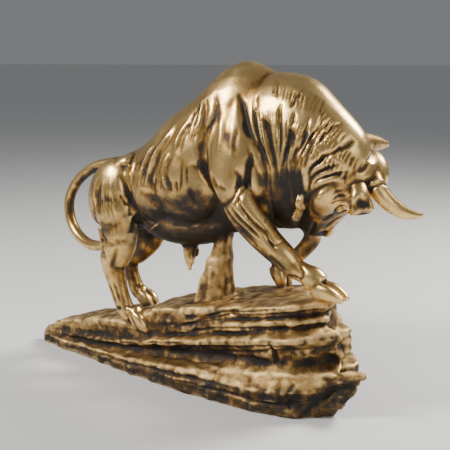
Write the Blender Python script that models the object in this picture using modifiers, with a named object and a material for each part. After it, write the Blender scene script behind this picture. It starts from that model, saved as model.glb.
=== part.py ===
"""A bull on a rock, cast in one piece and painted antique gold.

The bull leans uphill with its head lowered and twisted to its left. A short
stone pillar under the belly joins it to the layered rock it stands on.
The figure is modelled like clay: round masses and tapered limbs are laid over
each other, fused into one skin, smoothed, and then carved with folds.
Metres, Z up, X towards the bull's chest, Y towards its left side. The origin is
the middle of the flat underside.
"""
import math

import bmesh
import bpy
import numpy as np
from mathutils import Euler, Matrix, Vector, noise

# Driving dimensions
FIGURE_HEIGHT = 0.370  # underside of the rock to the top of the hump
ROCK_LENGTH = 0.446  # along X
ROCK_WIDTH = 0.170  # along Y
LEDGE_WEAR = 0.005  # how far the edges of the ledges wander in and out
STRATA_DEPTH = 0.0020  # depth of the fine beds in the rock's sides
SKIN_STEP = 0.0022  # grid of the fused skin
TRIANGLES = 9700  # what is left after thinning

# The bull's pose and proportions are shares of its height. One share is about a millimetre.
SHARE = FIGURE_HEIGHT / 370


def at(x, y, z):
    """A place in the figure, in shares of its height."""
    return Vector((x, y, z)) * SHARE


def clear_scene():
    for obj in list(bpy.data.objects):
        bpy.data.objects.remove(obj)


def paint(name, colour, roughness, metallic):
    material = bpy.data.materials.new(name)
    material.use_nodes = True
    shader = material.node_tree.nodes["Principled BSDF"]
    shader.inputs["Base Color"].default_value = (*colour, 1)
    shader.inputs["Roughness"].default_value = roughness
    shader.inputs["Metallic"].default_value = metallic
    return material


# Clay tools


def mass(clay, centre, radii, turn=(0, 0, 0), frame=None):
    """An egg of clay: its radii along its own axes, turned by degrees about X, Y and Z."""
    placed = Matrix.Translation(at(*centre)) @ Euler([math.radians(a) for a in turn]).to_matrix().to_4x4()
    if frame is not None:
        placed = frame @ placed
    placed = placed @ Matrix.Diagonal((*(Vector(radii) * SHARE), 1))
    bmesh.ops.create_uvsphere(clay, u_segments=24, v_segments=16, radius=1, matrix=placed)


def pair(clay, centre, radii, turn=(0, 0, 0), frame=None):
    """The same egg on the right side and, mirrored, on the left."""
    x, y, z = centre
    mass(clay, (x, y, z), radii, turn, frame)
    mass(clay, (x, -y, z), radii, (-turn[0], turn[1], -turn[2]), frame)


def between(stations, steps):
    """A smooth run through the stations: Catmull-Rom, with steps parts to each gap."""
    rows = np.array(stations, float)
    padded = np.vstack([2 * rows[0] - rows[1], rows, 2 * rows[-1] - rows[-2]])
    run = []
    for i in range(len(rows) - 1):
        a, b, c, d = padded[i : i + 4]
        for k in range(steps):
            t = k / steps
            run.append(0.5 * (2 * b + (c - a) * t + (2 * a - 5 * b + 4 * c - d) * t**2 + (3 * b - a - 3 * c + d) * t**3))
    run.append(rows[-1])
    return np.array(run)


def ring(clay, centre, along, across, half_wide, half_deep, sides, crest, square):
    """One section of a limb, square to its way: half_wide along across, narrower at its top by
    the share crest, and boxier than an ellipse where square is over 1."""
    along = along.normalized()
    side = (across - along * across.dot(along)).normalized()
    turned = Matrix((side, along.cross(side), along)).transposed().to_4x4()
    placed = Matrix.Translation(centre) @ turned
    made = bmesh.ops.create_circle(clay, segments=sides, radius=1)
    for vert in made["verts"]:
        wide, deep = (math.copysign(abs(c) ** (1 / square), c) for c in vert.co[:2])
        wide *= 1 - crest * max(-deep, 0)
        vert.co = placed @ Vector((wide * half_wide, deep * half_deep, 0))
    return list({edge for vert in made["verts"] for edge in vert.link_edges})


def limb(clay, stations, across=(0, 1, 0), steps=4, sides=20, frame=None, crest=0, square=1, along=None):
    """A tapered limb. A station is x, y, z, half the width, and half the depth square to it.
    Its sections stand square to its way, or to along where that is given."""
    frame = frame or Matrix.Identity(4)
    run = between(stations, steps)
    centres = [frame @ at(*row[:3]) for row in run]
    across = (frame.to_3x3() @ Vector(across)).normalized()
    rings = []
    for i, (centre, row) in enumerate(zip(centres, run)):
        way = along or centres[min(i + 1, len(run) - 1)] - centres[max(i - 1, 0)]
        half_wide, half_deep = row[3] * SHARE, row[4] * SHARE
        rings.append(ring(clay, centre, way, across, half_wide, half_deep, sides, crest, square))
    for first, second in zip(rings, rings[1:]):
        bmesh.ops.bridge_loops(clay, edges=first + second)
    for end in (rings[0], rings[-1]):
        bmesh.ops.contextual_create(clay, geom=end)


def bake_modifiers(obj):
    graph = bpy.context.evaluated_depsgraph_get()
    graph.update()
    mesh = bpy.data.meshes.new_from_object(obj.evaluated_get(graph))
    obj.modifiers.clear()
    obj.data = mesh


def fuse(clay, name, step):
    """The laid masses made one closed skin on a grid of the given step."""
    bmesh.ops.recalc_face_normals(clay, faces=clay.faces)
    mesh = bpy.data.meshes.new(name)
    clay.to_mesh(mesh)
    clay.free()
    obj = bpy.data.objects.new(name, mesh)
    bpy.context.scene.collection.objects.link(obj)
    remesh = obj.modifiers.new("Fuse", "REMESH")
    remesh.mode = "VOXEL"
    remesh.voxel_size = step
    bake_modifiers(obj)
    return obj


def smooth(obj, rounds, share):
    relax = obj.modifiers.new("Smooth", "SMOOTH")
    relax.iterations = rounds
    relax.factor = share
    bake_modifiers(obj)


# The bull


def trunk(clay):
    """Barrel, rump and shoulders: x, top, bottom and half the width of each section."""
    sections = (
        (-130, 228, 204, 10),
        (-121, 243, 184, 26),
        (-104, 252, 170, 37),
        (-82, 261, 165, 41),
        (-60, 271, 167, 42),
        (-40, 286, 168, 45),
        (-20, 305, 168, 49),
        (5, 321, 168, 52),
        (30, 339, 170, 53),
        (50, 357, 173, 51),
        (66, 366, 176, 49),
        (82, 370, 179, 47),
        (102, 364, 184, 43),
        (120, 355, 191, 36),
        (136, 344, 206, 22),
    )
    stations = [(x, 0, (top + low) / 2, wide, (top - low) / 2) for x, top, low, wide in sections]
    limb(clay, stations, steps=3, sides=28, crest=0.32, along=Vector((1, 0, 0)))


def neck(clay):
    """From the shoulders, bowed out to the right, round to the back of the head."""
    stations = (
        (92, -2, 274, 44, 78),
        (126, -5, 273, 45, 85),
        (155, -10, 275, 42, 80),
        (180, -13, 272, 37, 61),
        (201, -11, 266, 31, 44),
        (215, -4, 257, 24, 28),
    )
    limb(clay, stations, steps=4, sides=28, crest=0.12)
    brisket = ((104, -1, 222, 24, 34), (120, -2, 210, 19, 26), (133, -2, 207, 12, 17), (141, -2, 211, 6, 9))
    limb(clay, brisket, steps=3)
    mass(clay, (148, -3, 215), (6, 5, 10))
    mass(clay, (147, -3, 203), (5, 4, 8))


def shoulders(clay):
    """Leaf-shaped shoulder blades, standing proud of the barrel, with the muscle before them."""
    for side in (-1, 1):
        leaf = (
            (80, side * 15, 350, 9, 7),
            (82, side * 24, 326, 19, 13),
            (85, side * 33, 300, 29, 16),
            (86, side * 38, 276, 33, 17),
            (84, side * 42, 252, 27, 16),
            (86, side * 45, 232, 19, 14),
            (90, side * 45, 214, 11, 10),
        )
        limb(clay, leaf, across=(1, 0, 0), sides=24)
        mass(clay, (116, side * 37, 250), (13, 12, 26), (0, -8, 0))
    mass(clay, (112, -36, 208), (20, 14, 18))


def barrel_muscles(clay):
    """The ribs' swell, the flank folds and the heavy muscles each side of the spine."""
    pair(clay, (20, -28, 240), (50, 27, 54), (0, 24, 0))
    pair(clay, (-24, -26, 226), (40, 23, 42), (0, 30, 0))
    pair(clay, (-6, -16, 278), (50, 14, 20), (0, -36, 0))
    pair(clay, (-54, -27, 202), (18, 12, 28), (0, 30, 0))
    mass(clay, (0, 0, 184), (66, 38, 30), (0, -3, 0))
    limb(clay, ((6, 0, 166, 10, 10), (3, -2, 153, 8, 9), (3, -4, 142, 7, 7), (5, -5, 132, 5, 5)), steps=3, sides=14)


def haunch(clay, side):
    """Hip, thigh and buttock of one side; side is -1 for the right."""
    mass(clay, (-90, side * 28, 212), (35, 20, 42), (0, 10, side * 4))
    mass(clay, (-109, side * 25, 206), (20, 18, 36), (0, 4, 0))
    mass(clay, (-84, side * 35, 184), (27, 13, 17), (0, -6, 0))
    mass(clay, (-74, side * 24, 249), (18, 12, 10), (0, -22, 0))


def cloven_hoof(clay, toe, turn, size):
    """Two claws side by side with the two dewclaws behind them, the toe dipped by turn degrees."""
    frame = Matrix.Translation(toe * SHARE) @ Matrix.Rotation(math.radians(turn), 4, "Y") @ Matrix.Scale(size, 4)
    for claw in (-1, 1):
        mass(clay, (3, claw * 5.4, 0), (14, 6.2, 9), (0, 0, claw * 7), frame)
        mass(clay, (-13, claw * 5.5, 5), (6, 3.6, 4.4), (0, 0, 0), frame)


# Hind legs: x, z, half the width and half the depth, from the thigh through the hock to the pastern
RIGHT_HIND = (
    (-80, 186, 13, 28),
    (-77, 160, 12, 24),
    (-84, 141, 11, 21),
    (-91, 127, 10, 16.5),
    (-89, 113, 8.5, 11.5),
    (-82, 93, 8, 9.5),
    (-75, 78, 8.5, 9.5),
    (-70, 69, 9.5, 10.5),
    (-60, 62, 9.5, 9),
)
LEFT_HIND = (
    (-80, 186, 13, 28),
    (-88, 155, 12, 25),
    (-105, 133, 11, 20),
    (-118, 118, 10, 15),
    (-117, 103, 8.5, 11),
    (-112, 90, 8.5, 10),
    (-108, 80, 9, 10.5),
    (-101, 72, 9.5, 9),
)


def hind_leg(clay, side, leg, hoof):
    """From the thigh down to the hoof, with the cord that runs to the point of the hock."""
    limb(clay, [(x, side * 34, z, wide, deep) for x, z, wide, deep in leg])
    cord = [(-110, side * 31, 170)]
    for x, z, wide, deep in leg[2:5]:
        cord.append((x - deep + 2, side * 34, z + 3))
    limb(clay, [(*place, 3.8, 4.6) for place in cord])
    cloven_hoof(clay, Vector((hoof[0], side * 34, hoof[1])), 14, 1.08)


def near_foreleg(clay):
    """The right foreleg, stretched forward onto the high ledge."""
    leg = (
        (92, -43, 230, 14, 20),
        (103, -45, 212, 14.5, 20),
        (118, -44, 195, 13.5, 19),
        (134, -42, 179, 12.5, 16.5),
        (150, -40, 166, 12.5, 14.5),
        (162, -38, 155, 10.5, 12),
        (174, -37, 148, 10, 11),
        (183, -36, 143, 11.5, 13),
        (193, -35, 136, 11, 11.5),
    )
    limb(clay, leg, steps=3)
    cloven_hoof(clay, Vector((197, -35, 129)), 12, 1.26)


def far_foreleg(clay):
    """The left foreleg, bent, its hoof drawn back under the chest."""
    leg = (
        (98, 38, 226, 14, 19),
        (112, 44, 209, 13, 17),
        (126, 49, 194, 11.5, 14),
        (136, 52, 181, 11, 12.5),
        (136, 52, 168, 10, 10.5),
        (126, 51, 154, 8.5, 9.5),
        (115, 50, 143, 8.5, 9),
        (106, 50, 134, 9.5, 10),
        (100, 50, 128, 9, 9),
    )
    limb(clay, leg, steps=3)
    cloven_hoof(clay, Vector((96, 50, 122)), 50, 1.15)


def tail(clay):
    """Swung out behind in one loop, its tip against the right hock."""
    stations = (
        (-96, 0, 246, 9, 9),
        (-116, 0, 244, 8, 8),
        (-141, 0, 239, 6.8, 6.8),
        (-162, 0, 228, 6.2, 6.2),
        (-178, 0, 213, 6, 6),
        (-188, -1, 192, 6, 6),
        (-185, -3, 169, 6.2, 6.2),
        (-171, -7, 152, 6.6, 6.6),
        (-150, -13, 143, 7, 7),
        (-130, -19, 142, 7, 7),
        (-108, -26, 147, 5, 5),
    )
    limb(clay, stations, sides=14)


# The head has its own frame: X to the muzzle, Y to its left, Z out of the forehead.
HEAD_PLACE = (227, 2, 267)
MUZZLE_WAY = Vector((-0.621, 0.183, -0.762))
LEFT_WAY = Vector((-0.644, 0.435, 0.629))


def head_frame():
    forward = MUZZLE_WAY.normalized()
    left = (LEFT_WAY - forward * LEFT_WAY.dot(forward)).normalized()
    turned = Matrix((forward, left, forward.cross(left))).transposed().to_4x4()
    return Matrix.Translation(at(*HEAD_PLACE)) @ turned


def skull(clay):
    """Sections along the head: place, top, bottom and half the width of each."""
    frame = head_frame()
    sections = (
        (-8, 0, -18, 12),
        (2, 9, -28, 22),
        (16, 12, -38, 25),
        (35, 12, -48, 24),
        (50, 12, -51, 22),
        (63, 9, -45, 19),
        (76, 6, -37, 15.5),
        (87, 5, -31, 15.5),
        (96, 5, -27, 17),
        (102, 2, -22, 15),
        (107, -2, -17, 9),
    )
    stations = [(place, 0, (top + low) / 2, wide, (top - low) / 2) for place, top, low, wide in sections]
    limb(clay, stations, steps=3, sides=24, frame=frame)
    mass(clay, (12, 0, 9), (21, 25, 17), frame=frame)
    pair(clay, (44, -13, -30), (25, 12, 18), frame=frame)
    pair(clay, (45, -20, 2), (14, 6, 8), (0, -6, -8), frame=frame)
    pair(clay, (97, -12, 2), (9, 6, 8), frame=frame)
    mass(clay, (95, 0, -20), (12, 11, 8), frame=frame)


# How far the tip of each horn stands out of the forehead, right and left
HORN_REACH = {-1: 56, 1: 67}


def horns(clay):
    for side, reached in HORN_REACH.items():
        horn = (
            (7, side * 12, 0, 10.5, 10.5),
            (10, side * 28, 0.04 * reached, 10, 10),
            (14, side * 42, 0.21 * reached, 9.4, 9.4),
            (17, side * 51, 0.48 * reached, 7.8, 7.8),
            (18, side * 54, 0.77 * reached, 5, 5),
            (17, side * 54, reached, 2.2, 2.2),
        )
        limb(clay, horn, across=(1, 0, 0), sides=16, frame=head_frame())


def ears(clay):
    for side in (-1, 1):
        ear = (
            (12, side * 16, -13, 7, 8),
            (14, side * 28, -13, 8, 9.5),
            (17, side * 38, -12, 9, 11.5),
            (20, side * 47, -11, 9, 12.5),
            (23, side * 55, -9, 7, 10),
        )
        limb(clay, ear, across=(1, 0, 0), sides=16, frame=head_frame())


def bull(clay):
    trunk(clay)
    neck(clay)
    shoulders(clay)
    barrel_muscles(clay)
    for side in (-1, 1):
        haunch(clay, side)
    hind_leg(clay, -1, RIGHT_HIND, (-50, 58))
    hind_leg(clay, 1, LEFT_HIND, (-92, 69))
    near_foreleg(clay)
    far_foreleg(clay)
    tail(clay)
    skull(clay)
    horns(clay)
    ears(clay)


# Folds and grooves: side views of strokes in the bull's x and z, each with its width and depth.
# A stroke is pressed into both flanks. A negative depth raises a ridge.
NECK_FOLDS = (
    (((100, 334), (111, 307), (122, 286), (133, 257), (132, 229)), 7, 4.5),
    (((113, 340), (120, 315), (128, 288), (140, 258)), 5, 2.5),
    (((131, 310), (140, 287), (146, 268), (147, 240)), 7, 4.5),
    (((150, 330), (149, 305), (157, 279), (153, 255)), 6, 3.5),
    (((167, 331), (168, 309), (165, 284), (162, 255)), 7, 4.0),
    (((181, 325), (182, 305), (176, 283), (171, 256)), 6, 3.5),
    (((200, 309), (191, 292), (184, 272), (176, 248)), 6, 3.5),
    (((213, 296), (203, 286), (192, 270), (182, 250)), 5, 3.0),
    (((222, 276), (207, 268), (194, 258), (184, 246)), 5, 3.0),
)
SHOULDER_EDGES = (
    (((62, 339), (64, 313), (54, 289), (60, 262), (70, 240), (82, 216)), 7, 4.0),
    (((95, 336), (108, 306), (118, 284), (110, 262), (105, 240), (98, 216)), 6, 4.0),
)
FLANK_GROOVES = (
    (((-69, 240), (-59, 222), (-54, 204), (-48, 186)), 8, 4.5),
    (((-96, 226), (-101, 207), (-97, 188)), 5, 2.0),
    (((-100, 178), (-80, 184), (-62, 182)), 5, 2.5),
    (((-99, 166), (-82, 160), (-68, 160)), 6, 3.0),
    (((-48, 193), (-34, 186), (-20, 184)), 4, -2.5),
    (((-40, 226), (-21, 217), (0, 213), (26, 213), (50, 226)), 8, 3.5),
    (((-40, 202), (-10, 194), (19, 193), (50, 190)), 6, 2.5),
)
FORELEG_GROOVES = (
    (((97, 211), (113, 199), (128, 186), (139, 174)), 5, 3.0),
    (((109, 221), (121, 209), (133, 197), (142, 184)), 5, 2.5),
)
RIBS = 7


def rib_grooves():
    """Slanting grooves between the ribs, from the flank up towards the spine."""
    strokes = []
    for k in range(RIBS):
        foot = -46 + 15 * k
        lift = 8 * math.sin(math.pi * k / (RIBS - 1))
        way = ((foot, 222 + 4 * k), (foot + 13, 242 + 5 * k + lift), (foot + 30, 262 + 7 * k + lift))
        strokes.append((way, 5, 2.0))
    return strokes


def reach(points, way):
    """Distance of every point, seen from the side, to a stroke's line."""
    nearest = np.full(len(points), 1e9)
    for start, end in zip(way, way[1:]):
        step = end - start
        share = np.clip((points - start) @ step / (step @ step), 0, 1)
        nearest = np.minimum(nearest, np.linalg.norm(points - start - share[:, None] * step, axis=1))
    return nearest


def read_skin(mesh):
    places = np.zeros(len(mesh.vertices) * 3)
    mesh.vertices.foreach_get("co", places)
    facing = np.zeros(len(mesh.vertices) * 3)
    mesh.vertices.foreach_get("normal", facing)
    return places.reshape(-1, 3), facing.reshape(-1, 3)


def carve(obj, strokes):
    """Each stroke pressed into the skin where it faces outward on its side."""
    places, facing = read_skin(obj.data)
    seen = places[:, [0, 2]] / SHARE
    outward = np.clip(facing[:, 1] * np.sign(places[:, 1]), 0, 1) ** 0.5
    push = np.zeros(len(places))
    for way, width, depth in strokes:
        far = reach(seen, between(way, 4)) / width
        push -= depth * SHARE * np.exp(-(far**2)) * outward
    places += facing * push[:, None]
    obj.data.vertices.foreach_set("co", places.ravel())
    obj.data.update()


# The rock: layers that fan out and climb towards the chest

# Plan of the rock: x, right edge and left edge, as shares of its length and width
PLAN = (
    (-0.500, -0.17, -0.08),
    (-0.480, -0.20, 0.06),
    (-0.400, -0.21, 0.24),
    (-0.330, -0.23, 0.34),
    (-0.180, -0.34, 0.44),
    (-0.020, -0.40, 0.49),
    (0.150, -0.46, 0.52),
    (0.280, -0.49, 0.53),
    (0.360, -0.50, 0.53),
    (0.430, -0.45, 0.53),
    (0.480, -0.29, 0.53),
    (0.560, -0.10, 0.53),
)
# The layers from the foot up, then the core behind them: start and end on the right-hand side,
# top at both, thickness at both, how far right they may reach at both, the far edge's set-back
LAYERS = (
    (-223, 223, 25, 33, 40, 45, -40, -90, 0),
    (-210, 240, 42, 60, 16, 24, -32, -67, 6),
    (-150, 226, 54, 97, 16, 26, -2, -58, 8),
    (-70, 191, 68, 119, 16, 22, 24, -50, 12),
    (-30, 176, 80, 121, 24, 16, 34, -36, 16),
    (-200, 186, 34, 104, 40, 104, -24, -44, 10),
)
LAYER_PARTS = 14
END_SLANT = 2.1  # how fast the end of each layer falls back from the right-hand to the far edge
TIP_WIDTH = 14  # of a layer at its two ends


def edge_of_rock(x, column):
    table = np.array(PLAN)
    return np.interp(x, table[:, 0] * ROCK_LENGTH / SHARE, table[:, column] * ROCK_WIDTH / SHARE)


def wander(x, seed):
    return LEDGE_WEAR / SHARE * noise.noise(Vector((x / 21, seed * 3.7, 0.4)))


def layer(clay, seed, start, end, top_a, top_b, thick_a, thick_b, right_a, right_b, far_back):
    """One flat layer of stone. It climbs and comes forward towards its broken, slanting end."""
    stations = []
    for k in range(LAYER_PARTS + 1):
        t = k / LAYER_PARTS
        x = start + (end - start) * t
        right = max(edge_of_rock(x, 1), right_a + (right_b - right_a) * min(1, 1.7 * t)) + wander(x, seed)
        left = edge_of_rock(x, 2) - far_back + wander(x, seed + 9)
        room = TIP_WIDTH + END_SLANT * min(end - x, 3 * (x - start))
        left = min(max(left, right + TIP_WIDTH), right + room)
        top = top_a + (top_b - top_a) * t**0.85
        thick = thick_a + (thick_b - thick_a) * t
        stations.append((x, (left + right) / 2, top - thick / 2, (left - right) / 2, thick / 2))
    limb(clay, stations, steps=2, sides=32, square=3.4, along=Vector((1, 0, 0)))


def bed_of(place):
    """Height of a place within the fanning beds of the rock."""
    x, y, z = (c / SHARE for c in place)
    return z / (1 + 0.0021 * x)


def weather(obj):
    """The rock's sides cut into fine beds and its faces made uneven."""
    places, facing = read_skin(obj.data)
    for i, (place, way) in enumerate(zip(places, facing)):
        upright = 1 - abs(way[2])
        spot = Vector(place) / SHARE
        beds = noise.noise(Vector((spot.x / 70, spot.y / 70, bed_of(place) / 5.5)))
        blocks = noise.noise(spot / 26) + 0.5 * noise.noise(spot / 11)
        push = STRATA_DEPTH * 2 * beds * upright + STRATA_DEPTH * blocks
        places[i] += way * push
    obj.data.vertices.foreach_set("co", places.ravel())
    obj.data.update()


def rock():
    """The layers fused and weathered, ready to be laid with the bull's clay."""
    stone = bmesh.new()
    for seed, shape in enumerate(LAYERS, 1):
        layer(stone, seed, *shape)
    body = fuse(stone, "stone", SKIN_STEP)
    smooth(body, 2, 0.5)
    weather(body)
    return body


def pillar(clay):
    """The stone prop between the rock and the belly."""
    stations = (
        (38, 1, 74, 24, 23),
        (38, 1, 100, 20, 19.5),
        (41, 1, 125, 18, 15),
        (46, 1, 148, 14, 10),
        (49, 0, 170, 13, 8.5),
        (50, 0, 192, 13, 9),
    )
    limb(clay, stations, square=1.9)


def thin(obj, triangles):
    count = sum(len(face.vertices) - 2 for face in obj.data.polygons)
    fewer = obj.modifiers.new("Thin", "DECIMATE")
    fewer.ratio = triangles / count
    bake_modifiers(obj)


def flatten_underside(obj):
    """Cut level at the ground and closed with a flat face."""
    cut = bmesh.new()
    cut.from_mesh(obj.data)
    geometry = cut.verts[:] + cut.edges[:] + cut.faces[:]
    done = bmesh.ops.bisect_plane(cut, geom=geometry, plane_co=(0, 0, 0), plane_no=(0, 0, -1), clear_outer=True)
    rim = [item for item in done["geom_cut"] if isinstance(item, bmesh.types.BMEdge)]
    bmesh.ops.triangle_fill(cut, edges=rim, use_beauty=True)
    bmesh.ops.triangulate(cut, faces=cut.faces)
    bmesh.ops.recalc_face_normals(cut, faces=cut.faces)
    cut.to_mesh(obj.data)
    cut.free()


def main():
    clear_scene()
    collection = bpy.data.collections.new("bull_sculpture")
    bpy.context.scene.collection.children.link(collection)
    stone = rock()
    clay = bmesh.new()
    bull(clay)
    pillar(clay)
    clay.from_mesh(stone.data)
    bpy.data.objects.remove(stone)
    figure = fuse(clay, "bull_sculpture", SKIN_STEP)
    smooth(figure, 4, 0.5)
    carve(figure, (*NECK_FOLDS, *SHOULDER_EDGES, *FLANK_GROOVES, *FORELEG_GROOVES, *rib_grooves()))
    smooth(figure, 1, 0.4)
    thin(figure, TRIANGLES)
    flatten_underside(figure)
    figure.data.materials.clear()
    figure.data.materials.append(paint("antique_gold", (0.62, 0.43, 0.18), 0.34, 0.9))
    bpy.context.scene.collection.objects.unlink(figure)
    collection.objects.link(figure)


main()
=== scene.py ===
# %% [markdown]
# # A bull on a rock, cast in one piece
#
# The real object is a tabletop figure: a bull that leans uphill with its head
# lowered and twisted to its left, joined by a short stone pillar to the layered
# rock it stands on. It is one casting, painted antique gold. The raised forms
# are rubbed bright and the folds hold a dark brown glaze. This lesson models
# the casting as a sculptor would: rough masses first, then one skin, then folds
# and hair, and the paint last.

# %% The frame that the figure is built in
import math

import bmesh
import bpy
import numpy as np
from mathutils import Euler, Matrix, Vector, noise
from mathutils.kdtree import KDTree


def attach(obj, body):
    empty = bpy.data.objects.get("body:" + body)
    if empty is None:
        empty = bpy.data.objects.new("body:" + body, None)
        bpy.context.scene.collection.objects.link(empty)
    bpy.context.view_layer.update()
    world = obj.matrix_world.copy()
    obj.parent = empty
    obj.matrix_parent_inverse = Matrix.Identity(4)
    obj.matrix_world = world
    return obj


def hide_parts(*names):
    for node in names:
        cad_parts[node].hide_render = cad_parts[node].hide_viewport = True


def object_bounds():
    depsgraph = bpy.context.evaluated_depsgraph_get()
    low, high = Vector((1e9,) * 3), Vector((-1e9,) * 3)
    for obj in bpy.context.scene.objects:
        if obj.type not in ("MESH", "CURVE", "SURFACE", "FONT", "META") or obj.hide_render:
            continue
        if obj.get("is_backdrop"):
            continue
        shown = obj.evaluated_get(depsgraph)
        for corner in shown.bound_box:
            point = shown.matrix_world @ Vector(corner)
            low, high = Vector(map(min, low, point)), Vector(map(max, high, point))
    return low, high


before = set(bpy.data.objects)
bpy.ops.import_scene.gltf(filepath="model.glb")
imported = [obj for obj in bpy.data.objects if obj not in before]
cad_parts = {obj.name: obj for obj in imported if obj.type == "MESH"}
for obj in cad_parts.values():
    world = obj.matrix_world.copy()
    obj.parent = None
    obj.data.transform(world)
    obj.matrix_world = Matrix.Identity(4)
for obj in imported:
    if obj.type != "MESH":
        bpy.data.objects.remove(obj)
box_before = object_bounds()
print("solid of the figure:", [[round(c, 3) for c in corner] for corner in box_before])

# %% [markdown]
# ## Eggs and limbs of clay
#
# A sculptor lays lumps and rolls of clay on a wire. Here a lump is a sphere
# stretched to an egg, and a roll is a row of circles bridged into a tube. The
# numbers are millimetres, because a tabletop figure is easy to think of in
# them, and `at` turns them into metres.

# %% Clay tools
MILLIMETRE = 0.001
EGG_SIDES, EGG_ROWS = 24, 16


def at(x, y, z):
    return Vector((x, y, z)) * MILLIMETRE


def egg(clay, centre, radii, turn=(0, 0, 0), place=None):
    """An egg with radii along its own axes, turned by degrees about X, Y and Z."""
    placed = Matrix.Translation(at(*centre)) @ Euler([math.radians(a) for a in turn]).to_matrix().to_4x4()
    if place is not None:
        placed = place @ placed
    placed = placed @ Matrix.Diagonal((*(Vector(radii) * MILLIMETRE), 1))
    bmesh.ops.create_uvsphere(clay, u_segments=EGG_SIDES, v_segments=EGG_ROWS, radius=1, matrix=placed)


def egg_pair(clay, centre, radii, turn=(0, 0, 0), place=None):
    """The same egg on the right side and, mirrored, on the left."""
    x, y, z = centre
    egg(clay, (x, y, z), radii, turn, place)
    egg(clay, (x, -y, z), radii, (-turn[0], turn[1], -turn[2]), place)


def smooth_run(stations, steps):
    """Catmull-Rom through the stations, with steps parts to each gap."""
    rows = np.array(stations, float)
    padded = np.vstack([2 * rows[0] - rows[1], rows, 2 * rows[-1] - rows[-2]])
    run = []
    for i in range(len(rows) - 1):
        a, b, c, d = padded[i : i + 4]
        for k in range(steps):
            t = k / steps
            squared = (2 * a - 5 * b + 4 * c - d) * t**2
            cubed = (3 * b - a - 3 * c + d) * t**3
            run.append(0.5 * (2 * b + (c - a) * t + squared + cubed))
    run.append(rows[-1])
    return np.array(run)


def section(clay, centre, along, across, half_wide, half_deep, sides, crest, square):
    """One circle of a limb, squashed to its section: narrower at its top by the share crest,
    and boxier than an ellipse where square is over 1."""
    along = along.normalized()
    side = (across - along * across.dot(along)).normalized()
    placed = Matrix.Translation(centre) @ Matrix((side, along.cross(side), along)).transposed().to_4x4()
    made = bmesh.ops.create_circle(clay, segments=sides, radius=1)
    for vert in made["verts"]:
        wide, deep = (math.copysign(abs(c) ** (1 / square), c) for c in vert.co[:2])
        wide *= 1 - crest * max(-deep, 0)
        vert.co = placed @ Vector((wide * half_wide, deep * half_deep, 0))
    return list({edge for vert in made["verts"] for edge in vert.link_edges})


def limb(clay, stations, across=(0, 1, 0), steps=4, sides=20, place=None, crest=0, square=1, along=None):
    """A station is x, y, z, half the width and half the depth of the limb there."""
    place = place or Matrix.Identity(4)
    run = smooth_run(stations, steps)
    centres = [place @ at(*row[:3]) for row in run]
    across = (place.to_3x3() @ Vector(across)).normalized()
    rings = []
    for i, (centre, row) in enumerate(zip(centres, run)):
        way = along or centres[min(i + 1, len(run) - 1)] - centres[max(i - 1, 0)]
        sizes = row[3] * MILLIMETRE, row[4] * MILLIMETRE
        rings.append(section(clay, centre, way, across, *sizes, sides, crest, square))
    for first, second in zip(rings, rings[1:]):
        bmesh.ops.bridge_loops(clay, edges=first + second)
    for end in (rings[0], rings[-1]):
        bmesh.ops.contextual_create(clay, geom=end)


heap = []


def set_aside(clay, name):
    """Work in small lumps is quick, so each finished lump is kept as a mesh of its own."""
    bmesh.ops.recalc_face_normals(clay, faces=clay.faces)
    lump = bpy.data.meshes.new(name)
    clay.to_mesh(lump)
    clay.free()
    heap.append(lump)
    print(f"{name}: {len(lump.polygons)} faces")


# %% [markdown]
# ## The barrel, the neck and the shoulders
#
# The trunk is one tube whose sections give the back line and the belly line.
# A second, thicker tube is the neck, which bows out to the right before it
# turns to the head. Shoulder blades, ribs and haunches are laid over them.

# %% Trunk and neck
clay = bmesh.new()
# Place along the body, top, bottom and half the width
trunk_sections = (
    (-130, 228, 204, 10), (-121, 243, 184, 26), (-104, 252, 170, 37), (-82, 261, 165, 41),
    (-60, 271, 167, 42), (-40, 286, 168, 45), (-20, 305, 168, 49), (5, 321, 168, 52),
    (30, 339, 170, 53), (50, 357, 173, 51), (66, 366, 176, 49), (82, 370, 179, 47),
    (102, 364, 184, 43), (120, 355, 191, 36), (136, 344, 206, 22),
)
trunk = [(x, 0, (top + low) / 2, wide, (top - low) / 2) for x, top, low, wide in trunk_sections]
limb(clay, trunk, steps=3, sides=32, crest=0.32, along=Vector((1, 0, 0)))
neck = (
    (92, -2, 274, 44, 78), (126, -5, 273, 45, 85), (155, -10, 275, 42, 80),
    (180, -13, 272, 37, 61), (201, -11, 266, 31, 44), (215, -4, 257, 24, 28),
)
limb(clay, neck, steps=4, sides=32, crest=0.12)
brisket = ((104, -1, 222, 24, 34), (120, -2, 210, 19, 26), (133, -2, 207, 12, 17), (141, -2, 211, 6, 9))
limb(clay, brisket, steps=3)
set_aside(clay, "trunk_and_neck")

# %% Shoulders, ribs and haunches
clay = bmesh.new()
for side in (-1, 1):
    shoulder_blade = (
        (80, side * 15, 350, 9, 7), (82, side * 24, 326, 19, 13), (85, side * 33, 300, 29, 16),
        (86, side * 38, 276, 33, 17), (84, side * 42, 252, 27, 16), (86, side * 45, 232, 19, 14),
        (90, side * 45, 214, 11, 10),
    )
    limb(clay, shoulder_blade, across=(1, 0, 0), sides=24)
    # Point of the shoulder, thigh, back of the thigh, front of the thigh and hip
    egg(clay, (116, side * 37, 250), (13, 12, 26), (0, -8, 0))
    egg(clay, (-90, side * 28, 212), (35, 20, 42), (0, 10, side * 4))
    egg(clay, (-109, side * 25, 206), (20, 18, 36), (0, 4, 0))
    egg(clay, (-85, side * 33, 192), (28, 17, 31), (0, -4, 0))
    egg(clay, (-74, side * 24, 249), (18, 12, 10), (0, -22, 0))
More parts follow.
